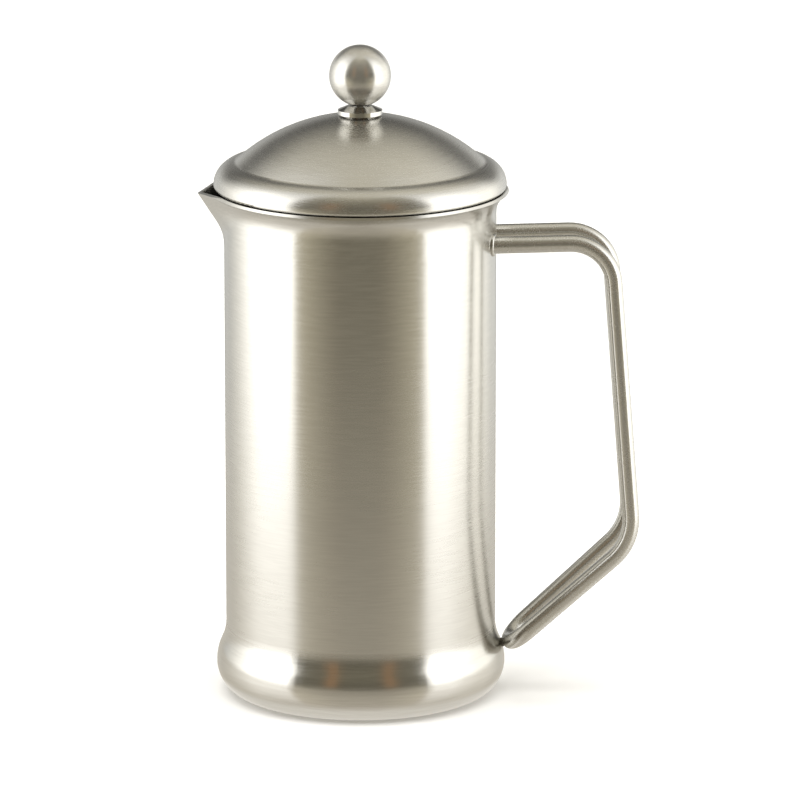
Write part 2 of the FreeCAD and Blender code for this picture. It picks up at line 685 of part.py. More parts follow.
def make_lid_seal_ring():
    """Silicone ring between the lid skirt and the flared rim."""
    def outer(z):
        return flare_radius(z, LINER_R, INSIDE_ARC_X, INNER_FLARE_Z) - SEAL_GAP
    low = SEAL_BOTTOM_Z
    high = SEAL_TOP_Z
    middle = 0.5 * (low + high)
    bevel_start = spot(outer(high) - SEAL_EDGE_OUT, high - SEAL_EDGE_DROP)
    bevel_end = spot(outer(high) - SEAL_EDGE_IN, high)
    return spin([
        line(spot(SEAL_INNER_R, low), spot(outer(low), low)),
        arc3(spot(outer(low), low), spot(outer(middle), middle), bevel_start),
        line(bevel_start, bevel_end),
        line(bevel_end, spot(SEAL_INNER_R, high)),
        line(spot(SEAL_INNER_R, high), spot(SEAL_INNER_R, low)),
    ])


def make_guide_bush():
    """Polished collar on the dome with a barrel that goes down through both lid skins."""
    seat = sphere_z(BUSH_SEAT_R, DOME_R, DOME_CENTRE_Z)
    return spin_points([
        (GUIDE_BORE_R, BARREL_BOTTOM_Z),
        (BARREL_R - BARREL_BEVEL, BARREL_BOTTOM_Z),
        (BARREL_R, BARREL_BOTTOM_Z + BARREL_BEVEL),
        (BARREL_R, seat),
        (BUSH_SEAT_R, seat),
        (BUSH_SEAT_R, COLLAR_BOTTOM_Z),
        (COLLAR_R - COLLAR_BEVEL, COLLAR_BOTTOM_Z),
        (COLLAR_R, COLLAR_BOTTOM_Z + COLLAR_BEVEL),
        (COLLAR_R, COLLAR_EDGE_Z),
        (COLLAR_TOP_R, COLLAR_TOP_Z),
        (GUIDE_BORE_R, COLLAR_TOP_Z),
    ])


def pan_seat_z():
    """Underside of the flat in the middle of the inner pan."""
    return sphere_z(PAN_FLAT_R, PAN_R - PAN_SHEET, PAN_CENTRE_Z)


def make_bush_washer():
    """Plain washer under the inner pan."""
    top = pan_seat_z()
    return tube(WASHER_R, BARREL_R + WASHER_CLEARANCE, top - WASHER_THICK, top)


def make_bush_nut():
    """Hexagonal nut that clamps the guide bush to the lid."""
    top = pan_seat_z() - WASHER_THICK
    low = BARREL_BOTTOM_Z + BUSH_NUT_UP
    bore = Part.makeCylinder(BARREL_R, top - low, spot(0, low))
    return hexagon(BUSH_NUT_FLATS, low, top).cut(bore)


def make_rod_guide_sleeve():
    """Plastic sleeve that turns in the bush and lets the plunger rod slide."""
    low = BARREL_BOTTOM_Z - SLEEVE_FLANGE_LOW
    flange_top = BARREL_BOTTOM_Z - SLEEVE_FLANGE_GAP
    high = COLLAR_TOP_Z - SLEEVE_TOP_DROP
    return spin_points([
        (SLEEVE_BORE_R, low),
        (SLEEVE_FLANGE_R, low),
        (SLEEVE_FLANGE_R, flange_top),
        (SLEEVE_R, flange_top),
        (SLEEVE_R, high),
        (SLEEVE_BORE_R, high),
    ])


# ---------------------------------------------------------------- plunger
def make_knob_ball():
    """Ball knob with a small flat foot and a blind hole for the rod."""
    ball = Part.makeSphere(KNOB_R, spot(0, KNOB_CENTRE_Z))
    foot_z = KNOB_CENTRE_Z - math.sqrt(KNOB_R ** 2 - KNOB_FOOT_R ** 2)
    below = Part.makeCylinder(KNOB_R, KNOB_R, spot(0, foot_z - KNOB_R))
    bore = Part.makeCylinder(PLUNGER_ROD_R, PLUNGER_ROD_TOP_Z - foot_z, spot(0, foot_z))
    return ball.cut(below).cut(bore)


def make_plunger_rod():
    """Straight rod from the knob to the filter hub."""
    return spin_points([
        (0, PLUNGER_ROD_BOTTOM_Z),
        (PLUNGER_ROD_R - PLUNGER_ROD_BEVEL, PLUNGER_ROD_BOTTOM_Z),
        (PLUNGER_ROD_R, PLUNGER_ROD_BOTTOM_Z + PLUNGER_ROD_BEVEL),
        (PLUNGER_ROD_R, PLUNGER_ROD_TOP_Z),
        (0, PLUNGER_ROD_TOP_Z),
    ])


def hole_ring(holes, low, high):
    """Cutters for a ring of round holes: (how many, on which radius, of what radius)."""
    count, place_r, hole_r = holes
    return around(Part.makeCylinder(hole_r, high - low, vec(place_r, 0, low)), count)


def make_cross_plate():
    """Lower plate of the filter with two rings of large holes."""
    low = CROSS_Z - CROSS_SHEET
    high = CROSS_Z + 2 * CROSS_SHEET
    plate = tube(CROSS_R, HUB_R, CROSS_Z, CROSS_Z + CROSS_SHEET)
    plate = plate.cut(hole_ring(CROSS_OUTER_HOLES, low, high))
    return plate.cut(hole_ring(CROSS_INNER_HOLES, low, high))


def make_cross_hub():
    """Threaded hub riveted in the cross plate; the rod screws into it."""
    return spin_points([
        (0, HUB_BOTTOM_Z),
        (HUB_FLANGE_R, HUB_BOTTOM_Z),
        (HUB_FLANGE_R, CROSS_Z),
        (HUB_R, CROSS_Z),
        (HUB_R, HUB_TOP_Z),
        (PLUNGER_ROD_R, HUB_TOP_Z),
        (PLUNGER_ROD_R, PLUNGER_ROD_BOTTOM_Z),
        (0, PLUNGER_ROD_BOTTOM_Z),
    ])


def make_filter_mesh():
    """Mesh disc with its edge turned up against the chamber wall."""
    bend = MESH_BEND_R
    low = MESH_Z
    high = MESH_Z + MESH_SHEET
    inner = MESH_R - MESH_SHEET
    return spin([
        line(spot(HUB_R, low), spot(MESH_R - bend, low)),
        arc_at(MESH_R - bend, low + bend, bend, -90, 0),
        line(spot(MESH_R, low + bend), spot(MESH_R, MESH_RIM_Z)),
        line(spot(MESH_R, MESH_RIM_Z), spot(inner, MESH_RIM_Z)),
        line(spot(inner, MESH_RIM_Z), spot(inner, low + bend)),
        arc_at(MESH_R - bend, low + bend, bend - MESH_SHEET, 0, -90),
        line(spot(MESH_R - bend, high), spot(HUB_R, high)),
        line(spot(HUB_R, high), spot(HUB_R, low)),
    ])


def make_spiral_plate():
    """Upper plate of the filter, with a ring of holes and a seat for the edge spring."""
    low = MESH_Z + MESH_SHEET
    high = low + SPIRAL_SHEET
    rib_out = SPRING_R - SEAT_RIB_OUT
    rib_in = SPRING_R - SEAT_RIB_IN
    plate = spin_points([
        (HUB_R, low),
        (SPIRAL_R, low),
        (SPIRAL_R, high),
        (rib_out, high),
        (rib_out, high + SEAT_RIB_HIGH),
        (rib_in, high + SEAT_RIB_HIGH),
        (rib_in, high),
        (HUB_R, high),
    ])
    plate = plate.cut(hole_ring(SPIRAL_OUTER_HOLES, low - SPIRAL_SHEET, high + SPIRAL_SHEET))
    return plate.cut(hole_ring(SPIRAL_INNER_HOLES, low - SPIRAL_SHEET, high + SPIRAL_SHEET))


def make_edge_spring():
    """Edge spring that presses the mesh outwards, as its envelope."""
    return Part.makeTorus(SPRING_R, SPRING_WIRE_R, spot(0, SPRING_Z), UP)


def make_rod_nut():
    """Hexagonal nut that locks the filter stack on the rod."""
    bore = Part.makeCylinder(PLUNGER_ROD_R, NUT_TOP_Z - HUB_TOP_Z, spot(0, HUB_TOP_Z))
    return hexagon(ROD_NUT_FLATS, HUB_TOP_Z, NUT_TOP_Z).cut(bore)


# ---------------------------------------------------------------- export
def one_solid(shape):
    """The single solid of a shape; anything else is an error."""
    solids = shape.Solids
    if len(solids) != 1:
        raise ValueError("expected one solid, got %d" % len(solids))
    return solids[0]


def build_all():
    """Every piece by its node name."""
    body = full_body()
    rod = make_handle_rod(body)
    near_weld = make_top_weld(rod, body)
    return {
        "outer_shell": make_outer_shell(),
        "inner_liner": make_inner_liner(),
        "base_plate": make_base_plate(),
        "handle_rod": rod,
        "handle_weld_near": near_weld,
        "handle_weld_far": near_weld.mirror(ZERO, vec(0, 1, 0)),
        "handle_weld_nose": make_nose_weld(rod, body),
        "lid_shell": make_lid_shell(),
        "lid_pan": make_lid_pan(),
        "lid_skirt": make_lid_skirt(),
        "guide_bush": make_guide_bush(),
        "bush_washer": make_bush_washer(),
        "bush_nut": make_bush_nut(),
        "lid_seal_ring": make_lid_seal_ring(),
        "rod_guide_sleeve": make_rod_guide_sleeve(),
        "knob_ball": make_knob_ball(),
        "plunger_rod": make_plunger_rod(),
        "spiral_plate": make_spiral_plate(),
        "edge_spring": make_edge_spring(),
        "filter_mesh": make_filter_mesh(),
        "cross_plate": make_cross_plate(),
        "cross_hub": make_cross_hub(),
        "rod_nut": make_rod_nut(),
    }


os.makedirs("parts", exist_ok=True)
for name, shape in build_all().items():
    solid = one_solid(shape)
    if not solid.isValid():
        raise ValueError("invalid solid: " + name)
    solid.exportStep("parts/" + name + ".step")
    box = solid.optimalBoundingBox()
    size = (box.XLength, box.YLength, box.ZLength)
    print("%-18s %8.1f x %8.1f x %8.1f  volume %10.1f" % ((name,) + size + (solid.Volume,)))
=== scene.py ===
"""Looks of the steel french press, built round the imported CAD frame. Metres, +Z up, handle at +X."""
import math

import bpy
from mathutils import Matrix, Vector


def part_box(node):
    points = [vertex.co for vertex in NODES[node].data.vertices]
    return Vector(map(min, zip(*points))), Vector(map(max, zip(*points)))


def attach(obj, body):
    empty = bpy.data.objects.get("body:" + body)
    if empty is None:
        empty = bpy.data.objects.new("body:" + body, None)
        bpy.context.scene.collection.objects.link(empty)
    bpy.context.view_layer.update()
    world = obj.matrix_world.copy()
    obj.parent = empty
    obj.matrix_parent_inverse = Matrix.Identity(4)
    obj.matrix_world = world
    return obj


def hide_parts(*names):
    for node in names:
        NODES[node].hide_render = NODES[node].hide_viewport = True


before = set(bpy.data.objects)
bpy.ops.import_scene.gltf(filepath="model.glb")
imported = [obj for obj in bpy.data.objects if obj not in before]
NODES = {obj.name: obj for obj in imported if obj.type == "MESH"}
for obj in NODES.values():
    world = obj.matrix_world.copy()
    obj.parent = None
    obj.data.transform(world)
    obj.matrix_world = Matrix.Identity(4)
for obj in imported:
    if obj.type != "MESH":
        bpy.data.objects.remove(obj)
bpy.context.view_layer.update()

# ---------------------------------------------------------------- colours of the pieces
STEEL = (0.61, 0.60, 0.565, 1.0)
STEEL_DARK = (0.50, 0.49, 0.47, 1.0)
KNOB_STEEL = (0.55, 0.54, 0.505, 1.0)
# dark steel painted as shade on the chamber wall just under the rim
SHADED_INSIDE_STEEL = (0.21, 0.21, 0.195, 1.0)
CHAMBER_STEEL = (0.56, 0.55, 0.52, 1.0)
# dark steel painted as the contact shadow on the weld at the handle's lower end
NOSE_SHADE = (0.16, 0.15, 0.135, 1.0)
POLISHED = (0.62, 0.61, 0.585, 1.0)
MESH_GAP = (0.05, 0.05, 0.05, 1.0)
SILICONE = (0.055, 0.055, 0.058, 1.0)
SILICONE_BLOOM = (0.12, 0.12, 0.12, 1.0)
PLASTIC = (0.82, 0.81, 0.77, 1.0)
PLASTIC_SHADE = (0.70, 0.68, 0.62, 1.0)

# ---------------------------------------------------------------- node values
METAL = 1.0
NOT_METAL = 0.0
RISE = (0.0, 1.0)
FALL = (1.0, 0.0)
MIX_FACTOR = 0
MIX_FIRST = 6
MIX_SECOND = 7
MIX_RESULT = 2
QUARTER_TURN = 0.25

# ---------------------------------------------------------------- noise ranges that show
GRAIN_SPAN = (0.3, 0.7)
LINE_SPAN = (0.25, 0.75)
CLOUD_SPAN = (0.3, 0.75)
SMUDGE_SPAN = (0.35, 0.75)
BLOOM_SPAN = (0.4, 0.8)
WAX_SPAN = (0.3, 0.8)

# ---------------------------------------------------------------- brushed steel
BRUSH_ALONG = 5.0
BRUSH_ACROSS = 1700.0
BRUSH_DETAIL = 2.0
BRUSH_DEPTH = 0.00001
BRUSH_GLOSS = 0.015
BRUSH_DARK = 0.96
BRUSH_LIGHT = 1.02
SMUDGE_SCALE = 28.0
SMUDGE_TONE = (0.0, 0.10)
SMUDGE_GLOSS = (-0.01, 0.015)

# ---------------------------------------------------------------- foot of the pot
# the bulge below FOOT_LOW is crisper. The wall above FOOT_TOP is worn, which fades out up to WORN_TOP
FOOT_LOW = 0.017
FOOT_TOP = 0.028
WORN_TOP = 0.17
FOOT_CRISPNESS = 2.0

# ---------------------------------------------------------------- pouring lip and chamber
LIP_Z = 0.1862
LIP_EDGE_LOW = 0.0016
LIP_EDGE_HIGH = 0.0008
DIP_START = 0.0493
DIP_SLOPE = 0.22
# painted shade inside the chamber: the wall is dark from this height up to the lip edge and fades to plain
# steel over the fade below it
SHADE_BAND_Z = 0.176
SHADE_BAND_FADE = 0.012
INSIDE_ROUGHNESS = 0.38
LIP_ROUGHNESS = 0.25

# ---------------------------------------------------------------- handle rod
# each bend: centre x, centre z, mean slope, half its length. ROD_ANGLES: slope of each straight run
ROD_BENDS = [
    (0.0855, 0.1640, math.radians(-43.0), 0.0115),
    (0.0935, 0.0600, math.radians(-111.0), 0.0095),
]
ROD_ANGLES = [0.0, math.radians(-85.7), math.radians(-138.4)]
ROD_GLOSS = (0.245, 0.27)
ROD_METALLIC = 0.94
ROD_ANISOTROPY = 0.80

# ---------------------------------------------------------------- filter
MESH_PITCH = 0.0009
MESH_GAP_EDGE = (0.45, 0.8)
MESH_ROUGHNESS = 0.34
SPRING_WIRE_R = 0.00024
SPRING_TURNS = 260
SPRING_STEPS_PER_TURN = 12
SPRING_SIDES = 6

# ---------------------------------------------------------------- light tints and levels
WHITE = (1.0, 1.0, 1.0, 1.0)
NEUTRAL = (1.02, 1.0, 0.94)
PALE = (1.01, 1.0, 0.98)
WARM = (1.10, 1.0, 0.74)
WARM_PALE = (1.06, 1.0, 0.84)
COOL = (1.0, 1.0, 0.97)
PANEL = 2.6
CEILING = 0.76
FLAT_LIGHT = 0.85

# ---------------------------------------------------------------- studio walls
# each stop: elevation in degrees, level, tint
FRONT_WALL = [
    (-90.0, 0.36, NEUTRAL), (-66.0, 0.25, WARM_PALE), (-44.0, 0.25, WARM), (-20.0, 0.25, WARM),
    (-8.0, 0.17, WARM), (8.0, 0.14, WARM), (40.0, 0.22, WARM), (62.0, 0.36, WARM),
    (76.0, 0.70, WARM_PALE), (90.0, CEILING, WARM_PALE),
]
BACK_WALL = [
    (-90.0, FLAT_LIGHT, NEUTRAL), (5.0, 0.82, COOL), (14.0, 0.40, NEUTRAL), (20.0, 0.11, NEUTRAL),
    (28.0, 0.14, NEUTRAL), (40.0, 0.37, WARM_PALE), (54.0, 0.64, WARM_PALE), (90.0, CEILING, WARM_PALE),
]
CORNERS = [
    (-90.0, FLAT_LIGHT, NEUTRAL), (-60.0, 1.55, NEUTRAL), (8.0, 1.55, NEUTRAL),
    (32.0, 1.0, NEUTRAL), (60.0, CEILING, WARM_PALE), (90.0, CEILING, WARM_PALE),
]
SIDE_PANELS = [
    (-90.0, 0.60, NEUTRAL), (-64.0, 0.70, NEUTRAL), (-30.0, PANEL, PALE), (28.0, PANEL, PALE),
    (52.0, 1.30, PALE), (68.0, 0.90, NEUTRAL), (90.0, CEILING, WARM_PALE),
]

# ---------------------------------------------------------------- studio plan
# in degrees. SHOULDER_SPAN and PANEL_NEAR_EDGE are turns from NEAR_CENTRE, TURN_TO_BACK and
# PANEL_FAR_EDGE from FAR_CENTRE, BACK_SPAN and REAR_SPAN from azimuth 0. A TOP or FOOT is an elevation
NEAR_CENTRE = -0.5
FAR_CENTRE = -8.0
SHOULDER_SPAN = (14.0, 58.0)
SHOULDER_GAIN = (1.0, 3.1)
SHOULDER_TOP = (-8.0, 6.0)
BACK_SPAN = (118.0, 150.0)
REAR_SPAN = (154.0, 180.0)
REAR_TOP = (45.0, 75.0)
REAR_GAIN = (1.0, 0.5)
LEFT_TO_RIGHT_GAIN = (0.77, 1.20)
TURN_TO_BACK = (80.0, 110.0)
PANEL_NEAR_EDGE = (54.0, 60.0)
PANEL_FAR_EDGE = (84.0, 122.0)
PATCH_COLOUR = (0.40, 0.24, 0.13, 1.0)
PATCH_AZIMUTH = 24.0
PATCH_SPAN = (0.0, 9.0)
PATCH_FOOT = (-2.0, 10.0)
PATCH_TOP = (30.0, 52.0)

# ---------------------------------------------------------------- stage
# CARD_EDGE, CARD_BLUR and the places in CARD_COVER are fractions of BOUNCE_RADIUS
FLOOR_COLOUR = (0.86, 0.86, 0.855, 1.0)
FLOOR_MOTTLE = 0.985
FLOOR_ROUGHNESS = 0.9
FLOOR_HALF = 6.0
FLOOR_GAP = 0.0002
BOUNCE_RADIUS = 0.70
CARD_EDGE = 0.075
CARD_BLUR = 0.005
CARD_NEAR = (0.95, 0.91, 0.84, 1.0)
CARD_FAR = (0.68, 0.625, 0.53, 1.0)
CARD_COVER = [
    (CARD_EDGE, 1.0), (0.085, 0.78), (0.125, 0.62), (0.20, 0.66),
    (0.30, 0.68), (0.45, 0.54), (0.65, 0.32), (1.0, 0.0),
]
TOP_LIGHT_WATTS = 75.0
TOP_LIGHT_SIZE = 3.0
TOP_LIGHT_PLACE = (0.0, -0.3, 2.2)
GLOSSY_BOUNCES = 10

# ---------------------------------------------------------------- view
VIEW_ELEVATION = math.radians(13.57)
VIEW_DISTANCE = 2.556
VIEW_AXIS_POINT = Vector((0.0, 0.0, 0.1076))
VIEW_SIDE_STEP = 0.0143
LENS_MM = 317.9
SENSOR_MM = 36.0
CLIP_END = 30.0


# ---------------------------------------------------------------- node helpers
class Tree:
    """Short calls for building one node tree."""

    def __init__(self, tree):
        self.tree = tree
        tree.nodes.clear()

    def add(self, kind, **settings):
        """A node with its properties set."""
        made = self.tree.nodes.new(kind)
        for key, value in settings.items():
            setattr(made, key, value)
        return made

    def join(self, source, target):
        """Link an output to an input."""
        self.tree.links.new(source, target)

    def feed(self, socket, value):
        """Link a socket or set a plain value."""
        if isinstance(value, bpy.types.NodeSocket):
            self.join(value, socket)
        else:
            socket.default_value = value

    def math(self, operation, *values):
        """Math node."""
        made = self.add("ShaderNodeMath", operation=operation)
        for index, value in enumerate(values):
            self.feed(made.inputs[index], value)
        return made.outputs[0]

    def remap(self, value, span, to_span, smooth=True):
        """Map a value from one (low, high) span to another, smoothly by default."""
        kind = "SMOOTHSTEP" if smooth else "LINEAR"
        made = self.add("ShaderNodeMapRange", interpolation_type=kind, clamp=True)
        self.feed(made.inputs["Value"], value)
        made.inputs["From Min"].default_value = span[0]
        made.inputs["From Max"].default_value = span[1]
        made.inputs["To Min"].default_value = to_span[0]
        made.inputs["To Max"].default_value = to_span[1]
        return made.outputs["Result"]

    def place(self):
        """Position on the object, in its own metres."""
        return self.add("ShaderNodeTexCoord").outputs["Object"]

    def split(self, vector):
        """The x, y and z of a vector."""
        made = self.add("ShaderNodeSeparateXYZ")
        self.join(vector, made.inputs[0])
        return made.outputs

    def noise(self, vector, scale, detail=3.0, roughness=0.5):
        """Noise value about 0.5."""
        made = self.add("ShaderNodeTexNoise", noise_dimensions="3D")
        self.join(vector, made.inputs["Vector"])
        made.inputs["Scale"].default_value = scale
        made.inputs["Detail"].default_value = detail
        made.inputs["Roughness"].default_value = roughness
        return made.outputs["Fac"]

    def mix(self, factor, first, second, blend="MIX"):
        """Colour mix."""
        made = self.add("ShaderNodeMix", data_type="RGBA", blend_type=blend)
        self.feed(made.inputs[MIX_FACTOR], factor)
        self.feed(made.inputs[MIX_FIRST], first)
        self.feed(made.inputs[MIX_SECOND], second)
        return made.outputs[MIX_RESULT]

    def ramp(self, value, stops):
        """Colour ramp through (position, colour) stops."""
        made = self.add("ShaderNodeValToRGB")
        ramp = made.color_ramp
        while len(ramp.elements) < len(stops):
            ramp.elements.new(0.5)
        for element, (position, colour) in zip(ramp.elements, stops):
            element.position = position
            element.color = colour
        self.feed(made.inputs["Fac"], value)
        return made.outputs["Color"]


def new_material(name):
    """Empty node material and its tree."""
    material = bpy.data.materials.new(name)
    material.use_nodes = True
    return material, Tree(material.node_tree)


def scaled(colour, factor):
    """A colour made darker or lighter, fully opaque."""
    return tuple(factor * part for part in colour[:3]) + (1.0,)


def principled(t, colour, metallic, roughness, height=None, bump=0.0, distance=0.0001):
    """Principled shader to the output, with an optional bump."""
    shader = t.add("ShaderNodeBsdfPrincipled")
    t.feed(shader.inputs["Base Color"], colour)
    shader.inputs["Metallic"].default_value = metallic
    t.feed(shader.inputs["Roughness"], roughness)
    if height is not None:
        bumped = t.add("ShaderNodeBump")
        bumped.inputs["Strength"].default_value = bump
        bumped.inputs["Distance"].default_value = distance
        t.join(height, bumped.inputs["Height"])
        t.join(bumped.outputs["Normal"], shader.inputs["Normal"])
    output = t.add("ShaderNodeOutputMaterial")
    t.join(shader.outputs["BSDF"], output.inputs["Surface"])
    return shader


# ---------------------------------------------------------------- finishes
def brush_lines(t, place):
    """Noise lines that run round the Z axis: slow along the line, fast across it."""
    x, y, z = t.split(place)
    angle = t.math("ARCTAN2", y, x)
    radius = t.math("SQRT", t.math("ADD", t.math("MULTIPLY", x, x), t.math("MULTIPLY", y, y)))
    made = t.add("ShaderNodeCombineXYZ")
    t.join(t.math("MULTIPLY", angle, BRUSH_ALONG), made.inputs[0])
    t.join(t.math("MULTIPLY", radius, BRUSH_ACROSS), made.inputs[1])
    t.join(t.math("MULTIPLY", z, BRUSH_ACROSS), made.inputs[2])
    return t.noise(made.outputs[0], 1.0, BRUSH_DETAIL)


def brush_round(t, shader, anisotropy):
    """Stretch the highlights across brush lines that run round the Z axis."""
    shader.inputs["Anisotropic"].default_value = anisotropy
    shader.inputs["Anisotropic Rotation"].default_value = QUARTER_TURN
    tangent = t.add("ShaderNodeTangent", direction_type="RADIAL", axis="Z")
    t.join(tangent.outputs[0], shader.inputs["Tangent"])


def turned_steel(name, colour, roughness, anisotropy, line_bump, metallic=METAL, worn_foot=0.0):
    """Steel brushed in circles round the pot axis. worn_foot: rougher lower wall, crisper base bulge."""
    material, t = new_material(name)
    place = t.place()
    z = t.split(place)[2]
    fine = brush_lines(t, place)
    smudge = t.noise(place, SMUDGE_SCALE, detail=3.0, roughness=0.55)
    darker = scaled(colour, BRUSH_DARK)
    tone = t.mix(t.remap(fine, GRAIN_SPAN, RISE), darker, scaled(colour, BRUSH_LIGHT))
    tone = t.mix(t.remap(smudge, SMUDGE_SPAN, SMUDGE_TONE), tone, STEEL_DARK)
    gloss = t.remap(fine, LINE_SPAN, (roughness - BRUSH_GLOSS, roughness + BRUSH_GLOSS))
    gloss = t.math("ADD", gloss, t.remap(smudge, GRAIN_SPAN, SMUDGE_GLOSS))
    gloss = t.math("ADD", gloss, t.remap(z, (FOOT_TOP, WORN_TOP), (worn_foot, 0.0)))
    gloss = t.math("ADD", gloss, t.remap(z, (FOOT_LOW, FOOT_TOP), (-FOOT_CRISPNESS * worn_foot, 0.0)))
    shader = principled(t, tone, metallic, gloss, fine, line_bump, BRUSH_DEPTH)
    brush_round(t, shader, anisotropy)
    return material


def liner_steel():
    """Chamber sheet: bright brushed lip edge, a dark band of painted shade under it, plain steel further
    down.
    """
    material, t = new_material("liner_steel")
    place = t.place()
    x, _, z = t.split(place)
    fine = brush_lines(t, place)
    past_dip = t.math("MAXIMUM", t.math("ADD", t.math("MULTIPLY", x, -1.0), -DIP_START), 0.0)
    level = t.math("ADD", z, t.math("MULTIPLY", past_dip, DIP_SLOPE))
    edge = t.remap(level, (LIP_Z - LIP_EDGE_LOW, LIP_Z - LIP_EDGE_HIGH), RISE)
    # painted shade: the wall under the rim is darkened where shade falls inside the mouth of the pot
    painted_shade = t.remap(z, (SHADE_BAND_Z - SHADE_BAND_FADE, SHADE_BAND_Z), RISE)
    tone = t.mix(edge, t.mix(painted_shade, CHAMBER_STEEL, SHADED_INSIDE_STEEL), STEEL)
    tone = t.mix(t.remap(fine, GRAIN_SPAN, (0.0, 0.12)), tone, STEEL_DARK)
    gloss = t.remap(edge, RISE, (INSIDE_ROUGHNESS, LIP_ROUGHNESS))
    gloss = t.math("ADD", gloss, t.remap(fine, LINE_SPAN, (-BRUSH_GLOSS, BRUSH_GLOSS)))
    shader = principled(t, tone, METAL, gloss, fine, bump=0.03, distance=BRUSH_DEPTH)
    brush_round(t, shader, anisotropy=0.5)
    return material


def plain_steel(name, colour, roughness, grain_scale=900.0, bump=0.03):
    """Steel with a fine even grain and faint handling marks."""
    material, t = new_material(name)
    place = t.place()
    grain = t.noise(place, grain_scale, detail=3.0, roughness=0.6)
    cloud = t.noise(place, scale=60.0, detail=4.0, roughness=0.6)
    tone = t.mix(t.remap(grain, GRAIN_SPAN, RISE), scaled(colour, 0.88), colour)
    gloss = t.remap(grain, GRAIN_SPAN, (roughness - 0.03, roughness + 0.03))
    gloss = t.math("ADD", gloss, t.remap(cloud, CLOUD_SPAN, (-0.02, 0.05)))
    principled(t, tone, METAL, gloss, grain, bump, distance=0.00002)
    return material


def rod_direction(t, place):
    """Direction of the handle rod at a point: three straight runs blended over the two bends."""
    x, _, z = t.split(place)
    angle = ROD_ANGLES[0]
    for (centre_x, centre_z, slope, half), before, after in zip(ROD_BENDS, ROD_ANGLES, ROD_ANGLES[1:]):
        along_x = t.math("MULTIPLY", t.math("ADD", x, -centre_x), math.cos(slope))
        along_z = t.math("MULTIPLY", t.math("ADD", z, -centre_z), math.sin(slope))
        turned = t.remap(t.math("ADD", along_x, along_z), (-half, half), RISE, smooth=False)
        angle = t.math("ADD", angle, t.math("MULTIPLY", turned, after - before))
    made = t.add("ShaderNodeCombineXYZ")
    t.join(t.math("COSINE", angle), made.inputs[0])
    t.join(t.math("SINE", angle), made.inputs[2])
    return made.outputs[0]


def rod_steel():
    """Ground rod: fine rings round the rod, so highlights run along it."""
    material, t = new_material("rod_steel")
    place = t.place()
    grain = t.noise(place, scale=1500.0, detail=2.0, roughness=0.6)
    cloud = t.noise(place, scale=70.0, detail=3.0, roughness=0.6)
    tone = t.mix(t.remap(grain, GRAIN_SPAN, RISE), scaled(STEEL, 0.94), STEEL)
    gloss = t.remap(grain, GRAIN_SPAN, ROD_GLOSS)
    gloss = t.math("ADD", gloss, t.remap(cloud, CLOUD_SPAN, (-0.01, 0.03)))
    shader = principled(t, tone, ROD_METALLIC, gloss, grain, bump=0.03, distance=BRUSH_DEPTH)
    shader.inputs["Anisotropic"].default_value = ROD_ANISOTROPY
    t.join(rod_direction(t, place), shader.inputs["Tangent"])
    return material


def mesh_steel():
    """Woven wire filter cloth: crossed wires with dark gaps."""
    material, t = new_material("mesh_steel")
    x, y, _ = t.split(t.place())
    per_metre = 2.0 * math.pi / MESH_PITCH
    wave_x = t.math("ABSOLUTE", t.math("SINE", t.math("MULTIPLY", x, per_metre)))
    wave_y = t.math("ABSOLUTE", t.math("SINE", t.math("MULTIPLY", y, per_metre)))
    weave = t.math("MAXIMUM", wave_x, wave_y)
    tone = t.mix(t.remap(weave, MESH_GAP_EDGE, RISE), MESH_GAP, STEEL)
    principled(t, tone, METAL, MESH_ROUGHNESS, weave, bump=0.5, distance=0.0002)
    return material


def silicone():
    """Dark matt silicone with a faint bloom."""
    material, t = new_material("silicone")
    place = t.place()
    grain = t.noise(place, scale=500.0, detail=3.0, roughness=0.6)
    bloom = t.noise(place, scale=45.0)
    tone = t.mix(t.remap(bloom, BLOOM_SPAN, (0.0, 0.25)), SILICONE, SILICONE_BLOOM)
    gloss = t.remap(grain, GRAIN_SPAN, (0.5, 0.62))
    principled(t, tone, NOT_METAL, gloss, grain, bump=0.08, distance=0.00005)
    return material


def guide_plastic():
    """Waxy off-white bearing plastic."""
    material, t = new_material("guide_plastic")
    grain = t.noise(t.place(), scale=700.0, detail=2.0)
    tone = t.mix(t.remap(grain, WAX_SPAN, (0.0, 0.3)), PLASTIC, PLASTIC_SHADE)
    gloss = t.remap(grain, GRAIN_SPAN, (0.38, 0.46))
    principled(t, tone, NOT_METAL, gloss, grain, bump=0.04, distance=0.00004)
    return material


def floor_paint():
    """Pale matt studio floor."""
    material, t = new_material("studio_floor")
    mottle = t.noise(t.place(), scale=3.0, detail=2.0)
    tone = t.mix(mottle, scaled(FLOOR_COLOUR, FLOOR_MOTTLE), FLOOR_COLOUR)
    principled(t, tone, NOT_METAL, FLOOR_ROUGHNESS)
    return material


# ---------------------------------------------------------------- studio
def direction_angles(t):
    """Azimuth (0 at -Y, + towards +X) and elevation of a world direction in degrees, and its x."""
    x, y, z = t.split(t.add("ShaderNodeTexCoord").outputs["Generated"])
    azimuth = t.math("DEGREES", t.math("ARCTAN2", x, t.math("MULTIPLY", y, -1.0)))
    elevation = t.math("DEGREES", t.math("ARCSINE", z))
    return azimuth, elevation, x


def turn_from(t, azimuth, centre):
    """Degrees of azimuth away from a centre, either way."""
    return t.math("ABSOLUTE", t.math("ADD", azimuth, -centre))


def wall(t, elevation, stops):
    """Colour against elevation, from (degrees, level, tint) stops."""
    height = t.remap(elevation, (-90.0, 90.0), RISE, smooth=False)
    keys = [((degrees + 90.0) / 180.0, scaled(tint, level)) for degrees, level, tint in stops]
    return t.ramp(height, keys)


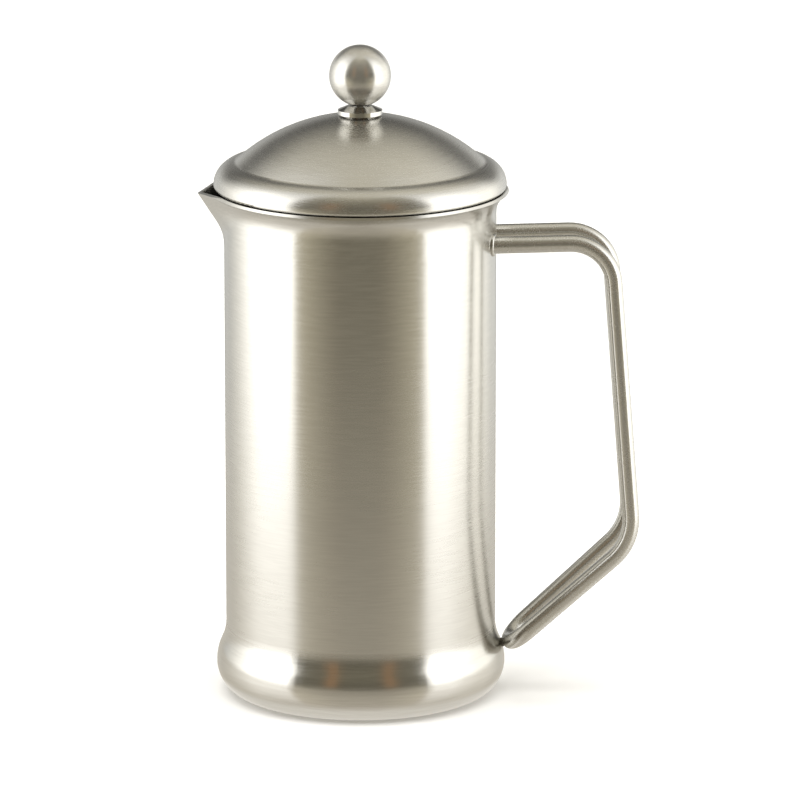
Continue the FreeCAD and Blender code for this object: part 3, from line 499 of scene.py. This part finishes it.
def room_patches(t, azimuth, elevation):
    """Two warm patches of the dim room in front, just above the horizon."""
    left = t.remap(turn_from(t, azimuth, -PATCH_AZIMUTH), PATCH_SPAN, FALL)
    right = t.remap(turn_from(t, azimuth, PATCH_AZIMUTH), PATCH_SPAN, FALL)
    low = t.remap(elevation, PATCH_FOOT, RISE)
    high = t.remap(elevation, PATCH_TOP, FALL)
    return t.math("MULTIPLY", t.math("ADD", left, right), t.math("MULTIPLY", low, high))


def front_of_room(t, azimuth, elevation, near_turn):
    """Dim warm front, brighter towards the side panels below the horizon, with the two patches."""
    shoulder = t.remap(near_turn, SHOULDER_SPAN, SHOULDER_GAIN)
    shoulder = t.mix(t.remap(elevation, SHOULDER_TOP, RISE), shoulder, WHITE)
    front = t.mix(1.0, wall(t, elevation, FRONT_WALL), shoulder, "MULTIPLY")
    return t.mix(room_patches(t, azimuth, elevation), front, PATCH_COLOUR)


def back_of_room(t, azimuth, elevation, rightward):
    """Pale back with brighter corners, darker straight behind below the ceiling and towards the left."""
    around = t.math("ABSOLUTE", azimuth)
    corners = wall(t, elevation, CORNERS)
    back = t.mix(t.remap(around, BACK_SPAN, RISE), corners, wall(t, elevation, BACK_WALL))
    rear = t.math("MULTIPLY", t.remap(around, REAR_SPAN, RISE), t.remap(elevation, REAR_TOP, FALL))
    back = t.mix(1.0, back, t.remap(rear, RISE, REAR_GAIN, smooth=False), "MULTIPLY")
    gain = t.remap(rightward, (-1.0, 1.0), LEFT_TO_RIGHT_GAIN, smooth=False)
    return t.mix(1.0, back, gain, "MULTIPLY")


def make_world():
    """Studio seen in the steel: a tall soft panel each side, a dim warm front, a pale back and ceiling."""
    world = bpy.data.worlds.new("studio")
    bpy.context.scene.world = world
    world.use_nodes = True
    t = Tree(world.node_tree)
    azimuth, elevation, rightward = direction_angles(t)
    near_turn = turn_from(t, azimuth, NEAR_CENTRE)
    far_turn = turn_from(t, azimuth, FAR_CENTRE)
    front = front_of_room(t, azimuth, elevation, near_turn)
    back = back_of_room(t, azimuth, elevation, rightward)
    room = t.mix(t.remap(far_turn, TURN_TO_BACK, RISE), front, back)
    panel_start = t.remap(near_turn, PANEL_NEAR_EDGE, RISE)
    panel_end = t.remap(far_turn, PANEL_FAR_EDGE, FALL)
    panel = t.math("MULTIPLY", panel_start, panel_end)
    seen = t.mix(panel, room, wall(t, elevation, SIDE_PANELS))
    background = t.add("ShaderNodeBackground")
    camera_ray = t.add("ShaderNodeLightPath").outputs["Is Camera Ray"]
    t.join(t.mix(camera_ray, seen, WHITE), background.inputs["Color"])
    output = t.add("ShaderNodeOutputWorld")
    t.join(background.outputs[0], output.inputs["Surface"])


def add_object(name, points, faces, material):
    """New mesh object with one material, linked to the scene."""
    mesh = bpy.data.meshes.new(name)
    mesh.from_pydata(points, [], faces)
    mesh.materials.append(material)
    made = bpy.data.objects.new(name, mesh)
    bpy.context.scene.collection.objects.link(made)
    return made


def flat_square(name, half, height, material):
    """Square stage sheet at one height."""
    corners = [(-half, -half, 0.0), (half, -half, 0.0), (half, half, 0.0), (-half, half, 0.0)]
    sheet = add_object(name, corners, [(0, 1, 2, 3)], material)
    sheet.location.z = height
    return sheet


def bounce_glow():
    """Round glow that fades outwards and is brightest near the foot."""
    material, t = new_material("bounce_glow")
    length = t.add("ShaderNodeVectorMath", operation="LENGTH")
    t.join(t.place(), length.inputs[0])
    reach = t.remap(length.outputs["Value"], (0.0, BOUNCE_RADIUS), RISE, smooth=False)
    cover = t.ramp(reach, [(fraction, scaled(WHITE, level)) for fraction, level in CARD_COVER])
    glow = t.add("ShaderNodeEmission")
    colour = t.ramp(reach, [(CARD_EDGE, CARD_NEAR), (CARD_EDGE + CARD_BLUR, CARD_FAR)])
    t.join(colour, glow.inputs["Color"])
    blend = t.add("ShaderNodeMixShader")
    t.join(cover, blend.inputs[0])
    t.join(t.add("ShaderNodeBsdfTransparent").outputs[0], blend.inputs[1])
    t.join(glow.outputs[0], blend.inputs[2])
    output = t.add("ShaderNodeOutputMaterial")
    t.join(blend.outputs[0], output.inputs["Surface"])
    return material


def make_bounce_card():
    """Glow on the floor that only reflections see: the lit floor round the foot."""
    card = flat_square("bounce_card", BOUNCE_RADIUS, 0.0, bounce_glow())
    card.visible_camera = False
    card.visible_diffuse = False
    card.visible_shadow = False


def make_top_light():
    """Large soft light overhead that lights the floor and the matt parts, not the reflections."""
    data = bpy.data.lights.new("top_light", "AREA")
    data.shape = "SQUARE"
    data.size = TOP_LIGHT_SIZE
    data.energy = TOP_LIGHT_WATTS
    light = bpy.data.objects.new("top_light", data)
    bpy.context.scene.collection.objects.link(light)
    light.location = TOP_LIGHT_PLACE
    light.visible_glossy = False
    light.visible_camera = False


def make_floor():
    """Large pale floor under the object."""
    floor = flat_square("floor", FLOOR_HALF, -FLOOR_GAP, floor_paint())
    floor.visible_glossy = False


def make_camera():
    """Long-lens camera a little above the pot."""
    data = bpy.data.cameras.new("camera")
    data.lens = LENS_MM
    data.sensor_width = SENSOR_MM
    data.clip_end = CLIP_END
    camera = bpy.data.objects.new("camera", data)
    bpy.context.scene.collection.objects.link(camera)
    back = Vector((0.0, -math.cos(VIEW_ELEVATION), math.sin(VIEW_ELEVATION)))
    camera.location = VIEW_AXIS_POINT + VIEW_DISTANCE * back
    aim = VIEW_AXIS_POINT + Vector((VIEW_SIDE_STEP, 0.0, 0.0)) - camera.location
    camera.rotation_euler = aim.to_track_quat("-Z", "Y").to_euler()
    bpy.context.scene.camera = camera


# ---------------------------------------------------------------- edge spring
def coil_points(ring, coil, middle_z):
    """Points of a fine wire wound in a coil of one radius, the coil bent into a ring."""
    steps = SPRING_TURNS * SPRING_STEPS_PER_TURN
    advance = ring / (SPRING_TURNS * coil)
    up = Vector((0.0, 0.0, 1.0))
    points = []
    for step in range(steps):
        round_ring = 2.0 * math.pi * step / steps
        round_coil = 2.0 * math.pi * step / SPRING_STEPS_PER_TURN
        outward = Vector((math.cos(round_ring), math.sin(round_ring), 0.0))
        forward = Vector((-math.sin(round_ring), math.cos(round_ring), 0.0))
        out_of_coil = math.cos(round_coil) * outward + math.sin(round_coil) * up
        centre = ring * outward + coil * out_of_coil + middle_z * up
        winding = math.cos(round_coil) * up - math.sin(round_coil) * outward
        wire = (winding + advance * forward).normalized()
        beside = wire.cross(out_of_coil)
        for side in range(SPRING_SIDES):
            turn = 2.0 * math.pi * side / SPRING_SIDES
            spoke = math.cos(turn) * out_of_coil + math.sin(turn) * beside
            points.append(centre + SPRING_WIRE_R * spoke)
    return points


def coil_faces():
    """Quads between each ring of wire points and the next, closed at the end."""
    steps = SPRING_TURNS * SPRING_STEPS_PER_TURN
    faces = []
    for step in range(steps):
        here = step * SPRING_SIDES
        there = (step + 1) % steps * SPRING_SIDES
        for side in range(SPRING_SIDES):
            after = (side + 1) % SPRING_SIDES
            faces.append((here + side, here + after, there + after, there + side))
    return faces


def make_edge_spring(material):
    """Fine wire coil bent into a ring, in the place of its plain envelope."""
    low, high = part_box("edge_spring")
    coil_outer = 0.5 * (high[2] - low[2])
    ring = high[0] - coil_outer
    middle_z = 0.5 * (low[2] + high[2])
    faces = coil_faces()
    points = coil_points(ring, coil_outer - SPRING_WIRE_R, middle_z)
    spring = add_object("edge_spring_coil", points, faces, material)
    spring.data.polygons.foreach_set("use_smooth", [True] * len(faces))
    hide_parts("edge_spring")
    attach(spring, "plunger")


# ---------------------------------------------------------------- finishes on the CAD nodes
def paint(names, material):
    """Give CAD nodes one finished material."""
    for name in names:
        data = NODES[name].data
        data.materials.clear()
        data.materials.append(material)


def paint_all():
    """Every CAD node gets its finish."""
    body = turned_steel("body_steel", STEEL, roughness=0.245, anisotropy=0.62, line_bump=0.012,
                        worn_foot=0.045)
    lid = turned_steel("lid_steel", STEEL, roughness=0.265, anisotropy=0.45, line_bump=0.006,
                       metallic=0.97)
    knob = turned_steel("knob_steel", KNOB_STEEL, roughness=0.23, anisotropy=0.2, line_bump=0.01,
                        metallic=0.88)
    polished = plain_steel("polished_steel", POLISHED, roughness=0.06, grain_scale=1400.0, bump=0.01)
    pressed = plain_steel("pressed_steel", STEEL, roughness=0.28)
    weld = plain_steel("weld_steel", STEEL, roughness=0.20, grain_scale=700.0, bump=0.08)
    # painted shadow: the weld where the handle's lower end meets the wall is made dark for the shade there
    shaded_nose = plain_steel("nose_shade_steel", NOSE_SHADE, roughness=0.42, grain_scale=700.0, bump=0.15)
    paint(["outer_shell", "base_plate"], body)
    paint(["inner_liner"], liner_steel())
    paint(["lid_shell", "lid_pan", "lid_skirt"], lid)
    paint(["knob_ball"], knob)
    paint(["handle_rod"], rod_steel())
    paint(["guide_bush", "plunger_rod"], polished)
    paint(["bush_washer", "bush_nut", "rod_nut", "cross_hub"], pressed)
    paint(["cross_plate", "spiral_plate", "edge_spring"], pressed)
    make_edge_spring(plain_steel("spring_wire", STEEL, roughness=0.22, grain_scale=2500.0, bump=0.02))
    paint(["handle_weld_near", "handle_weld_far"], weld)
    # nose weld painted dark as contact shadow
    paint(["handle_weld_nose"], shaded_nose)
    paint(["filter_mesh"], mesh_steel())
    paint(["lid_seal_ring"], silicone())
    paint(["rod_guide_sleeve"], guide_plastic())


def set_up_scene():
    """Plain colour transform, and enough reflections to see into the chamber."""
    scene = bpy.context.scene
    scene.view_settings.view_transform = "Standard"
    scene.cycles.glossy_bounces = GLOSSY_BOUNCES


set_up_scene()
paint_all()
make_world()
make_top_light()
make_floor()
make_bounce_card()
make_camera()
